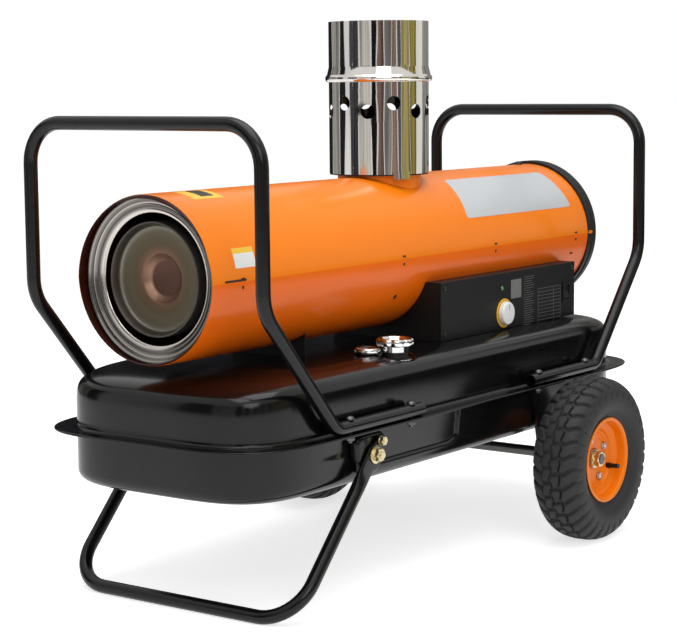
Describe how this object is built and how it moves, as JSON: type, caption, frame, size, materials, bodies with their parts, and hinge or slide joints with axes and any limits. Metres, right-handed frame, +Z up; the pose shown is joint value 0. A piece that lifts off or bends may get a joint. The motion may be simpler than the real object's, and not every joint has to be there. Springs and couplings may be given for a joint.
{
  "type": "indirect fired space heater",
  "caption": "Wheeled indirect fired heater: orange cylinder casing with flue and round outlet on a black fuel tank, with tube hoops, folding front leg and side control box.",
  "frame": {"origin": "on the ground, midway along the tank and midway between the wheels (centre of the bounding box's underside)", "axes": "+X along the casing from the warm air outlet to the fan, +Y across to the side away from the control box, +Z up"},
  "size_m": [1.049, 0.604, 0.79],
  "materials": {
    "orange_enamel": "gloss enamel",
    "black_enamel": "gloss enamel",
    "satin_black": "satin enamel",
    "stainless": "polished",
    "steel": "bare",
    "heated_steel": "heat tinted",
    "yellow_zinc": "yellow passivated zinc",
    "bright_zinc": "bright zinc",
    "rubber": "matt",
    "chrome": "polished",
    "white_plastic": "semi-gloss",
    "yellow_plastic": "satin",
    "black_plastic": "satin",
    "green_lens": "gloss",
    "board_green": "lacquer",
    "cast_metal": "as cast",
    "red_plastic": "satin"
  },
  "bodies": {
    "frame": {"tank_lower_shell": "black_enamel", "tank_upper_shell": "black_enamel", "front_handle": "black_enamel", "rear_handle": "black_enamel", "leg_bracket_near": "black_enamel", "leg_bracket_far": "black_enamel", "leg_pivot_bolt_near": "yellow_zinc", "leg_pivot_bolt_far": "yellow_zinc", "axle": "steel", "axle_bracket_near": "satin_black", "axle_bracket_far": "satin_black", "wheel_nut_near": "yellow_zinc", "wheel_nut_far": "yellow_zinc", "casing_lower_shell": "orange_enamel", "casing_upper_shell": "orange_enamel", "outlet_ring": "steel", "heat_exchanger_drum": "heated_steel", "combustion_chamber": "heated_steel", "drum_support": "steel", "burner_plate": "steel", "burner_head": "cast_metal", "flue_collar": "satin_black", "flue_pipe": "stainless", "rear_guard": "satin_black", "fan_motor": "cast_metal", "motor_bracket": "steel", "fuel_pump": "cast_metal", "front_saddle": "satin_black", "control_housing": "satin_black", "control_panel": "satin_black", "dial_ring": "yellow_plastic", "switch_frame": "black_plastic", "pilot_lamp": "green_lens", "control_board": "board_green", "cable_gland": "black_plastic", "filler_neck": "black_plastic", "gauge_body": "chrome", "handle_bolt_1": "bright_zinc", "handle_bolt_2": "bright_zinc", "handle_bolt_3": "bright_zinc", "handle_bolt_4": "bright_zinc", "handle_bolt_5": "bright_zinc", "handle_bolt_6": "bright_zinc", "handle_bolt_7": "bright_zinc", "handle_bolt_8": "bright_zinc"},
    "leg": {"front_leg": "black_enamel", "leg_lock_bolt_near": "yellow_zinc", "leg_lock_bolt_far": "yellow_zinc"},
    "wheel_near": {"tyre_near": "rubber", "rim_near": "orange_enamel", "hub_near": "bright_zinc"},
    "wheel_far": {"tyre_far": "rubber", "rim_far": "orange_enamel", "hub_far": "bright_zinc"},
    "fan": {"fan_rotor": "black_plastic", "motor_shaft": "bright_zinc"},
    "knob": {"thermostat_knob": "white_plastic"},
    "rocker": {"switch_rocker": "black_plastic"},
    "cap": {"filler_cap": "chrome"},
    "needle": {"gauge_needle": "red_plastic"}
  },
  "joints": [
    {"name": "leg_fold", "type": "hinge", "parent": "frame", "child": "leg", "pos_m": [-0.262, 0, 0.202], "axis": [0, 1, 0], "range_deg": [-118, 0]},
    {"name": "wheel_near_spin", "type": "hinge", "parent": "frame", "child": "wheel_near", "pos_m": [0.222, -0.262, 0.125], "axis": [0, 1, 0], "continuous": true},
    {"name": "wheel_far_spin", "type": "hinge", "parent": "frame", "child": "wheel_far", "pos_m": [0.222, 0.262, 0.125], "axis": [0, 1, 0], "continuous": true},
    {"name": "fan_spin", "type": "hinge", "parent": "frame", "child": "fan", "pos_m": [0.431, 0, 0.4475], "axis": [1, 0, 0], "continuous": true},
    {"name": "thermostat_turn", "type": "hinge", "parent": "frame", "child": "knob", "pos_m": [0.177, -0.1353, 0.345], "axis": [0, -1, 0], "range_deg": [0, 300]},
    {"name": "switch_tip", "type": "hinge", "parent": "frame", "child": "rocker", "pos_m": [0.37, -0.1323, 0.36], "axis": [1, 0, 0], "range_deg": [0, 18]},
    {"name": "cap_lift", "type": "slide", "parent": "frame", "child": "cap", "axis": [0, 0, 1], "range_m": [0, 0.06]},
    {"name": "gauge_sweep", "type": "hinge", "parent": "frame", "child": "needle", "pos_m": [-0.161, -0.116, 0.3266], "axis": [0, 0, -1], "range_deg": [0, 240]}
  ]
}
